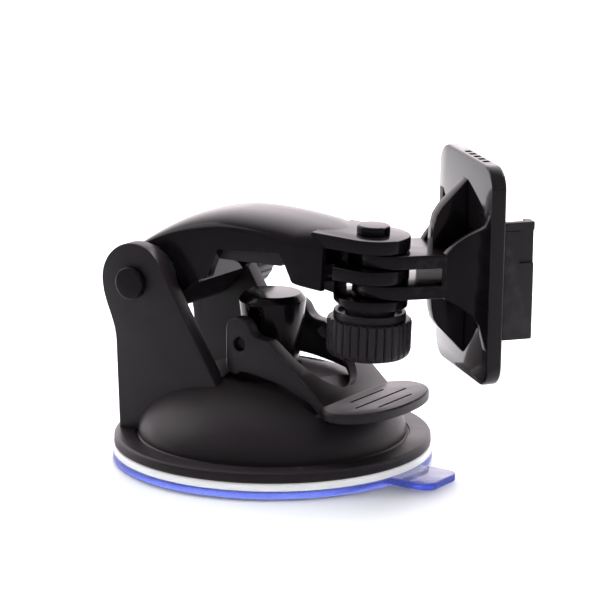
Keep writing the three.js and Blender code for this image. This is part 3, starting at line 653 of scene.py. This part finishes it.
def slot_outline(start, widen=0.0):
    """The slot for the post seen from above: straight sides and a round end."""
    half = SLOT_RADIUS + widen
    return [(start, -half)] + arc(SLOT_CENTRE, half, -90, 90, 32) + [(start, half)]


def slot_rim():
    """The wide rounded rim round the slot's end, which follows the slope of the lever's web."""
    slope = [(-30, WEB_LINE[0][1]), *WEB_LINE, (40, LEVER_TOP)]
    rings = []
    for widen, lift in ((-0.4, -1.9), (0.25, -1.25), (0.9, -0.5), (1.35, 0.05), (1.5, 1.5)):
        rings.append([(x, y, height_at(slope, x) + lift) for x, y in slot_outline(4, widen)])
    return loft(rings)


def release_lever():
    lever = mesh_object("lever_moulding", prism(paddle_outline(), LEVER_BOTTOM, LEVER_TOP, 0.55))
    web_outline = WEB_LINE + [(22.5, LEVER_TOP), (22.5, LEVER_BOTTOM), (19.4, LEVER_BOTTOM), (13.4, 18.9),
                              (5.6, 25.4)]
    web = tool(prism(web_outline, -11.9, 11.9, 0.15, "XZ"))
    combine(web, [tool(prism(slot_outline(-10), 10, 40, 0)), tool(slot_rim())], "DIFFERENCE")
    cheeks = [tool(prism(cheek_outline(), *sided(side, CHEEK_INNER, CHEEK_OUTER), 0.35, "XZ"))
              for side in (-1, 1)]
    combine(lever, [web, *cheeks], "UNION")
    grooves = [tool(prism(stadium(0.28, half_length, 0.27, (x, 0), 5), LEVER_TOP - 0.4, LEVER_TOP + 1, 0))
               for x, half_length in ((22.9, 6.2), (26.2, 9.5), (29.5, 6.3))]
    combine(lever, [*grooves, drill(PIN_BORE, -20, 20, AT_PIN, 40)], "DIFFERENCE")
    return finish_piece(lever, "lever", SATIN, "release_lever")


# ---- arm --------------------------------------------------------------------------------------
def arm_profile():
    """The arm seen from the side: its upper path from the back forwards, and its lower path back again."""
    centre = (PIVOT.x, PIVOT.z)
    front = WAIST_END - 0.3
    top = arc(centre, ARM_KNUCKLE, 225, 135, 22)
    top = curved_on(top, (-22.5, 46.6), (-15.0, 51.4), (-4.0, 51.5), 30)
    top = curved_on(top, (4.0, 51.6), (12.0, 50.6), (front, 49.35), 24)
    below = [(front, 37.5), (11.5, 39.5), (9.5, 43.6), (8.5, 45.2), (-6.4, 44.1), (-8.4, 39.4), (-8.9, 37.9),
             (-12.0, 37.0)]
    radii = [0, 0.8, 1, 0.5, 0.5, 1, 0.6, 1.2]
    knuckle = arc(centre, ARM_KNUCKLE, 316, 229, 20)
    return top, filleted(below + knuckle, radii + [0] * len(knuckle), closed=False)


def arm_rings():
    """Side outlines of the arm from one flank to the other, with the upper path lowered towards both."""
    top, below = arm_profile()
    shares = [math.sin(math.pi / 2 * k / 18) for k in range(-18, 19)]
    shares += [SEAM - SEAM_EDGE, SEAM, SEAM + SEAM_EDGE]
    rings = []
    for share in sorted(shares):
        y = ARM_HALF * share
        sink = 1 - math.sqrt(max(0.0, 1 - abs(share) ** 2.6))
        groove = SEAM_DEPTH if share == SEAM else 0.0
        ring = []
        for i, (x, z) in enumerate(top):
            x0, z0 = top[max(i - 1, 0)]
            x1, z1 = top[min(i + 1, len(top) - 1)]
            inward = Vector((z1 - z0, x0 - x1)).normalized()
            crown = CROWN_AT_KNUCKLE + (CROWN - CROWN_AT_KNUCKLE) * soft_step(x, *CROWN_RISE)
            depth = crown * sink + groove
            ring.append((x + inward.x * depth, y, z + inward.y * depth))
        rings.append(ring + [(x, y, z) for x, z in below])
    return rings


def waisted(bm):
    """Narrows the arm's end to the width of the joint in one soft curve."""
    cuts = 14
    for cut in range(cuts):
        place = (WAIST_START + (WAIST_END - WAIST_START) * cut / cuts, 0, 0)
        geometry = bm.verts[:] + bm.edges[:] + bm.faces[:]
        bmesh.ops.bisect_plane(bm, geom=geometry, plane_co=place, plane_no=FORWARDS)
    for vert in bm.verts:
        vert.co.y *= 1 + (WAIST_HALF / ARM_HALF - 1) * soft_step(vert.co.x, WAIST_START, WAIST_END)
    return bm


def scoop_plan(side):
    """What is cut away beside the neck, below the top ear."""
    path = curved_on([(-7.2, 14), (-7.2, 12)], (-7.0, 8), (-6.6, NECK_HALF), (-5.4, NECK_HALF), 16)
    path += [(-3, NECK_HALF), (-3, 14)]
    return [(x, side * y) for x, y in path]


def top_ear_outline():
    """The round upper ear with its full-width strap back to the arm."""
    half = EYE_RADIUS - 0.02
    return arc((0, 0), EYE_RADIUS, -88, 88, 44) + [(-10, half), (-10, -half)]


def middle_ear_outline():
    """The round middle ear, whose strap is narrow beyond the shoulder."""
    half = EYE_RADIUS - 0.02
    neck = NECK_HALF - 0.02
    strap = [(NECK_SHOULDER, half), (NECK_SHOULDER, neck), (-10, neck)]
    return arc((0, 0), EYE_RADIUS, -88, 88, 44) + strap + [(x, -y) for x, y in strap[::-1]]


def layer_span(layer):
    """The bottom and top of one of the joint's tongues, counted downwards from the top ear."""
    return -layer * TONGUE_STEP - TONGUE, -layer * TONGUE_STEP


def swing_space(layer):
    """The room that a prong of the fork turns in, round the keel that holds the lowest ear."""
    bottom, top = -(layer + 1) * TONGUE_STEP - 0.05, -layer * TONGUE_STEP + 0.35
    behind = 180 - math.degrees(math.asin(KEEL_HALF / SWING_RADIUS))
    path = arc((0, 0), SWING_RADIUS, -behind, behind, 68) + [(KEEL_END, KEEL_HALF), (KEEL_END, -KEEL_HALF)]
    return prism(path, bottom, top, 0)


def lowest_ear():
    """The ear that the knob clamps; its underside rises towards the arm."""
    bottom, top = LOWEST_EAR
    outline = arc((0, 0), EYE_RADIUS, -161, 161, 64) + [(KEEL_START, KEEL_HALF), (KEEL_START, -KEEL_HALF)]
    ear = tool(prism(outline, bottom, top))
    keel_outline = [(KEEL_START, -8), (KEEL_END, -8), (KEEL_END, -14), (KEEL_START, -14)]
    keel = tool(prism(keel_outline, -KEEL_HALF, KEEL_HALF, 0, "XZ"))
    cut_outline = [(-12, -12.5), (KEEL_START, -12.5), (-6.3, -13.1), (0.5, bottom), (0.5, -20), (-12, -20)]
    under = tool(prism(cut_outline, -12, 12, 0, "XZ"))
    combine(combine(ear, [keel], "UNION"), [under], "DIFFERENCE")
    ear.data.transform(metres(AT_JOINT))
    return ear


def ear_slab(outline, layer):
    """The tool that adds one of the arm's ears at its layer of the joint."""
    return tool(prism(outline, *layer_span(layer), 0.28), AT_JOINT)


def arm_shell():
    shell = mesh_object("arched_arm", waisted(loft(arm_rings())))
    scoops = [tool(prism(scoop_plan(side), -13.4, -TONGUE + 0.05, 0), AT_JOINT) for side in (-1, 1)]
    swings = [tool(swing_space(layer), AT_JOINT) for layer in (1, 3)]
    cavity_outline = [(-13, 30), (-13, 43.6), (-7, 44.6), (8.6, 45.6), (8.6, 30)]
    cavity = tool(prism(cavity_outline, -8.2, 8.2, 0, "XZ"))
    combine(shell, [*scoops, *swings, cavity], "DIFFERENCE")
    ears = [ear_slab(top_ear_outline(), 0), ear_slab(middle_ear_outline(), 2), lowest_ear()]
    combine(shell, ears, "UNION")
    combine(shell, [tilt_bore(), joint_bore(AT_JOINT)], "DIFFERENCE")
    return finish_piece(shell, "arm", GLOSS, "arm_shell")


def arm_under_cover():
    corners = [(-12.4, 41.5), (7.6, 41.9), (8.2, 44.8), (-6.9, 44.0), (-12.4, 43.1)]
    outline = filleted(corners, [0.3, 0.5, 0.3, 0.3, 0.3])
    cover = mesh_object("arm_underside_cover", prism(outline, -8, 8, 0.3, "XZ"))
    hollow = tool(prism(rectangle(-7.4, 10, 43.3, 46), -6.4, 6.4, 0, "XZ"))
    combine(cover, [hollow], "DIFFERENCE")
    return finish_piece(cover, "arm", SATIN, "arm_under_cover")


# ---- bolts and knobs --------------------------------------------------------------------------
def round_headed_bolt(name, node, body, matrix, shank_end):
    """A bolt whose head stands on a frame's Z and whose shank reaches down to shank_end."""
    outline = [(0, shank_end), (BOLT_RADIUS, shank_end), (BOLT_RADIUS, 0.05), (BOLT_HEAD, 0.05),
               (BOLT_HEAD, BOLT_HEAD_HEIGHT), (0, BOLT_HEAD_HEIGHT)]
    profile = filleted(outline, [0, 0.3, 0, 0.15, 0.45, 0], 5, closed=False)
    return finish_piece(mesh_object(name, turned(profile, 72), matrix), body, GLOSS, node)


def ribbed(radius, angle):
    """Grip ribs: narrow rounded grooves on the part of the knob that is at full radius."""
    smooth_radius = KNOB_RADIUS - 0.5
    if radius < smooth_radius:
        return radius
    groove = max(0.0, math.cos(angle * RIBS)) ** 3
    return radius - RIB_DEPTH * groove * min(1.0, (radius - smooth_radius) / 0.35)


def thumb_knob(name, node, body, matrix):
    """A ribbed knob with a smooth collar, a recessed end and a stepped bore for its insert and the bolt."""
    end = -KNOB_LENGTH
    recessed_end = [(0, end + 0.5), (4.6, end + 0.5), (5.0, end), (6.4, end)]
    rounded_end = curved_on(recessed_end, (7.7, end), (KNOB_RADIUS, end + 0.7), (KNOB_RADIUS, end + 2.0), 10)
    side = [(KNOB_RADIUS, -5.0), (KNOB_RADIUS, -2.1), (8.38, -1.7), (8.05, -1.5)]
    collar = [(KNOB_COLLAR, -1.5), (KNOB_COLLAR, -0.25), (7.1, 0), (6.65, 0), (6.45, -0.2), (6.45, -1.0)]
    bore = [(3.5, -1.0), (3.5, -7.5), (2.4, -7.5), (2.4, -7.95), (0, -7.95)]
    body_mesh = turned(rounded_end + side + collar + bore, RIBS * 16, ribbed)
    knob = mesh_object(name, body_mesh, matrix, sharp=40)
    return finish_piece(knob, body, SATIN, node)


# ---- camera head ------------------------------------------------------------------------------
def flare_wall(side):
    """A thin wall that widens like a trumpet from the fork to the plate."""
    start, end = WALL_START, PLATE_INSIDE
    outer = curved_on([(start, 7.5)], (15.8, 7.9), (18.0, 9.6), (end, 14), 20)
    inner = curved_on([(start, 5.5)], (15.6, 5.8), (17.9, 8.0), (end, 11.8), 20)
    upper = curved_on([(start, 4.5)], (14.2, 6.9), (18.2, 9.6), (19.0, 11.2), 20) + [(end, 13.6)]
    lower = curved_on([(start, -4.5)], (14.5, -5.2), (17.6, -6.9), (WALL_FLARE, -9.2), 20) + [(end, -14)]
    stations = [start + (WALL_FLARE - start) * i / 16 for i in range(17)] + [18.8, 19.0, 19.2, end]
    rings = []
    for x in stations:
        z_high, z_low = height_at(upper, x), height_at(lower, x)
        w_out, w_in = height_at(outer, x), height_at(inner, x)
        ring = filleted([(w_out, z_low), (w_out, z_high), (w_in, z_high), (w_in, z_low)], 0.5, 3)
        rings.append([(x, side * w, FORK_CENTRE + z) for w, z in ring])
    return loft(rings)


def fin_outline():
    """The middle fin seen from the side, from its waist at the fork out to the plate."""
    points = [(12.3, -6.0), (12.5, -8.2), (13.0, -10.2), (13.9, -11.7), (PLATE_INSIDE, -17.5),
              (PLATE_INSIDE, 18.3), (14.1, 12.9), (13.0, 11.2), (12.5, 9.0), (12.3, 6.5)]
    return [(x, FORK_CENTRE + z) for x, z in points]


def mount_head():
    """Two prongs, a block that joins them, two flared walls and a fin, in one piece."""
    end = FORK_END + 2.4
    outline = arc((PRONG_OFFSET, 0), EYE_RADIUS, 90, 270, 48) + [(end, -EYE_RADIUS), (end, EYE_RADIUS)]
    prongs = [prism(outline, *layer_span(layer), 0.3) for layer in (1, 3)]
    head = mesh_object("fork_head", prongs[0], AT_HEAD)
    root_outline = stadium(EYE_RADIUS - 0.01, 4.49, 0.4, (0, FORK_CENTRE), 3)
    root = tool(prism(root_outline, FORK_END - 1.2, FORK_END + 2.2, 0.2, "YZ"), AT_HEAD)
    walls = [tool(flare_wall(side), AT_PLATE) for side in (-1, 1)]
    fin = tool(prism(fin_outline(), -FIN_HALF, FIN_HALF, 0.2, "XZ"), AT_PLATE)
    combine(head, [tool(prongs[1], AT_HEAD), root, *walls, fin], "UNION")
    combine(head, [joint_bore(AT_HEAD)], "DIFFERENCE")
    return finish_piece(head, "head", GLOSS, "mount_head")


def camera_plate():
    """The polished plate with a row of small notches along its top edge."""
    outline = stadium(PLATE_HALF_WIDTH, PLATE_HALF_HEIGHT, PLATE_CORNER, (0, PLATE_CENTRE), 12)
    slab = prism(outline, PLATE_FACE, PLATE_FACE + PLATE_THICKNESS, 0.5, "YZ")
    plate = mesh_object("polished_plate", slab, AT_PLATE)
    top = PLATE_CENTRE + PLATE_HALF_HEIGHT
    depth, width, step, count = 0.7, 1.5, 2.4, 5
    notches = []
    for i in range(count):
        y = -7.5 + step * i
        notch = block((PLATE_FACE + 0.9, PLATE_FACE + 2.3), (y, y + width), (top - depth, top + 1), 0)
        notches.append(tool(notch, AT_PLATE))
    combine(plate, notches, "DIFFERENCE")
    return finish_piece(plate, "head", MIRROR_GLOSS, "camera_plate")


def sunk_screw_hole(y, z, start, end):
    """A hole for a plate screw with a wider one for its head, along X."""
    head_seat = start + 0.85
    hole = turned([(0, start - 0.5), (SCREW_BORE, start - 0.5), (SCREW_BORE, head_seat),
                   (SCREW_HEAD_BORE, head_seat), (SCREW_HEAD_BORE, end), (0, end)], 32)
    hole.transform(Matrix.Translation((0, y, z + PLATE_CENTRE)) @ Matrix.Rotation(math.pi / 2, 4, "Y"))
    return hole


def camera_socket():
    """A floor between two lipped rails, with a stop below and a recess and a line in the near rail."""
    start = PLATE_FACE + PLATE_THICKNESS + 0.05
    end = start + SOCKET_DEPTH
    bottom, top = FORK_CENTRE - RAIL_HALF_HEIGHT, FORK_CENTRE + RAIL_HALF_HEIGHT
    floor_half = RAIL_HALF_WIDTH - 0.3
    floor = block((start, start + SOCKET_FLOOR), (-floor_half, floor_half), (bottom + 0.05, top - 1.7))
    socket = mesh_object("socket_rails", floor, AT_PLATE)
    inner = RAIL_HALF_WIDTH - RAIL_WALL
    stop_half = inner + 0.5
    stop = block((start + 0.01, end - 0.02), (-stop_half, stop_half), (bottom + 0.02, bottom + RAIL_WALL))
    solids = [stop]
    for side in (-1, 1):
        rail = block((start + 0.02, end), sided(side, inner, RAIL_HALF_WIDTH), (bottom, top))
        lip_width = sided(side, inner - 1.5, floor_half)
        lip = block((end - RAIL_WALL, end - 0.01), lip_width, (bottom + 0.01, top - 0.01))
        solids += [rail, lip]
    combine(socket, [tool(solid, AT_PLATE) for solid in solids], "UNION")
    near = -RAIL_HALF_WIDTH
    step = start + 3.2
    recess = block((step, end + 1), (near - 1, near + 0.6), (FORK_CENTRE + 3.6, FORK_CENTRE + 10.3), 0)
    line = block((start - 0.5, step), (near - 1, near + 0.22), (FORK_CENTRE + 10.15, FORK_CENTRE + 10.4), 0)
    holes = [sunk_screw_hole(y, z, start, end) for y, z in SCREW_PLACES]
    combine(socket, [tool(cut, AT_PLATE) for cut in (recess, line, *holes)], "DIFFERENCE")
    return finish_piece(socket, "head", SATIN, "camera_socket")


# ---- stage, light and camera ------------------------------------------------------------------
FLOOR_HALF = 3000
FLOOR_DROP = 0.2
FLOOR_TONE = (0.90, 0.94, 0.98, 1)
FLOOR_DARK = (0.14, 0.13, 0.135, 1)  # what the floor shows in reflections on the viewer's side
FLOOR_LIGHT = (0.93, 0.93, 0.95, 1)  # and beyond the object
BEYOND = (-0.5, 0.85, 0)             # the direction from the one to the other
BRIGHT_SIDE = (-0.40, 0.90, -0.15)   # the direction of the open, white side of the studio
ROOM_TINT = (1.0, 0.915, 0.955, 1)
WHITE = (1.0, 1.0, 1.0, 1)
OPEN_SIDE = 1.9
DIM_SIDE = 0.18

CAMERA_AZIMUTH = 33.453
CAMERA_ELEVATION = 13.205
CAMERA_ROLL = 0.121
CAMERA_DISTANCE = 661.585
CAMERA_AIM = (5.578, 7.278)          # across and up from a point above the middle of the base
AIM_HEIGHT = 25
CAMERA_LENS = 194.6


def stage():
    """A pale floor that turns white far away, and is dark in reflections on the viewer's side."""
    half = FLOOR_HALF * MM
    mesh = bpy.data.meshes.new("floor")
    mesh.from_pydata([(x, y, 0) for x, y in rectangle(-half, half, -half, half)], [], [(0, 1, 2, 3)])
    floor = bpy.data.objects.new("floor", mesh)
    floor.location.z = -FLOOR_DROP * MM
    bpy.context.scene.collection.objects.link(floor)
    n = Nodes(bpy.data.materials.new("pale_floor"))
    place = n.place()
    ray = n.add("ShaderNodeLightPath").outputs
    reflected = n.mix(n.ramp(n.along(place, BEYOND), 0.0, 1.0, -0.05, 0.10), FLOOR_DARK, FLOOR_LIGHT)
    away = n.add("ShaderNodeVectorMath", {0: place}, operation="LENGTH").outputs["Value"]
    haze = n.calculate("MULTIPLY", n.ramp(away, 0.0, 0.8, 0.12, 0.6), ray["Is Camera Ray"])
    tone = n.mix(ray["Is Glossy Ray"], FLOOR_TONE, reflected)
    material = n.set(Base_Color=tone, Roughness=0.35, Specular_IOR_Level=0.4,
                     Emission_Color=WHITE, Emission_Strength=haze)
    mesh.materials.append(material)


def area_light(name, place, size, power, mirrored=True):
    """A rectangular lamp that points at the object. An unmirrored one is not seen in reflections."""
    target = Vector((0, 0, 0.03))
    data = bpy.data.lights.new(name, "AREA")
    data.shape = "RECTANGLE"
    data.size, data.size_y = size
    data.energy = power
    light = bpy.data.objects.new(name, data)
    light.location = place
    light.rotation_euler = (target - Vector(place)).to_track_quat("-Z", "Y").to_euler()
    light.visible_glossy = mirrored
    bpy.context.scene.collection.objects.link(light)


def studio():
    """A white studio, open behind the object and dim in front of it. Its lamps are placed in metres."""
    world = bpy.data.worlds.new("studio")
    bpy.context.scene.world = world
    n = Nodes(world, "Background")
    seen = n.add("ShaderNodeLightPath").outputs["Is Camera Ray"]
    facing = n.along(n.place("Generated"), BRIGHT_SIDE)
    glow = n.ramp(facing, DIM_SIDE, OPEN_SIDE, -0.25, 0.95, interpolation_type="SMOOTHSTEP")
    level = n.add("ShaderNodeMix", {"Factor": seen, "A": glow, "B": 1.0}).outputs["Result"]
    n.set(Color=n.mix(seen, ROOM_TINT, WHITE), Strength=level)
    area_light("overhead", (-0.15, 0.35, 0.8), (0.9, 0.7), 14, mirrored=False)
    area_light("top_strip", (0.25, 0.45, 0.60), (0.5, 0.12), 1.5)
    area_light("left_front", (-0.65, -0.25, 0.45), (0.5, 0.6), 0.9)


def camera():
    """A long lens from the side of the lever, a little above it."""
    azimuth, elevation = math.radians(CAMERA_AZIMUTH), math.radians(CAMERA_ELEVATION)
    level = Vector((math.sin(azimuth), -math.cos(azimuth), 0))
    back = level * math.cos(elevation) + Vector((0, 0, math.sin(elevation)))
    right = Vector((math.cos(azimuth), math.sin(azimuth), 0))
    up = back.cross(right)
    aim = Vector((0, 0, AIM_HEIGHT)) + right * CAMERA_AIM[0] + up * CAMERA_AIM[1]
    turn = Matrix.Rotation(math.radians(CAMERA_ROLL), 3, back)
    matrix = Matrix((turn @ right, turn @ up, back)).transposed().to_4x4()
    matrix.translation = (aim + back * CAMERA_DISTANCE) * MM
    data = bpy.data.cameras.new("camera")
    data.lens = CAMERA_LENS
    data.sensor_width = 36
    data.clip_start = 0.01
    eye = bpy.data.objects.new("camera", data)
    eye.matrix_world = matrix
    bpy.context.scene.collection.objects.link(eye)
    bpy.context.scene.camera = eye


# ---- build ------------------------------------------------------------------------------------
bpy.context.scene.view_settings.view_transform = "Standard"
camera()
stage()
studio()

protective_film()
suction_pad()
base_housing()
guide_post()
release_lever()
arm_shell()
arm_under_cover()
round_headed_bolt("tilt_bolt_black", "tilt_bolt", "base", across(-EAR_OUTER, -1), -39)
round_headed_bolt("joint_bolt_black", "joint_bolt", "arm", AT_JOINT, JOINT_KNOB_FACE - 7.7)
thumb_knob("tilt_thumb_knob", "tilt_knob", "tilt_clamp", across(EAR_OUTER + 0.3, -1))
joint_knob_place = AT_JOINT @ Matrix.Translation((0, 0, JOINT_KNOB_FACE))
thumb_knob("joint_thumb_knob", "joint_knob", "joint_clamp", joint_knob_place)
mount_head()
camera_plate()
camera_socket()

FINISH = {"steel": STEEL, "brass": BRASS, "nylon": NYLON, "satin_black": SATIN, "gloss_black": GLOSS}
SLOTS = {row["node"]: row["material_slot"] for row in frame["record"]["subparts"]}
for node, cad in frame["nodes"].items():
    if SLOTS[node] in FINISH:
        cad.data.materials.clear()
        cad.data.materials.append(BLACKENED if node == "lever_pin" else FINISH[SLOTS[node]])
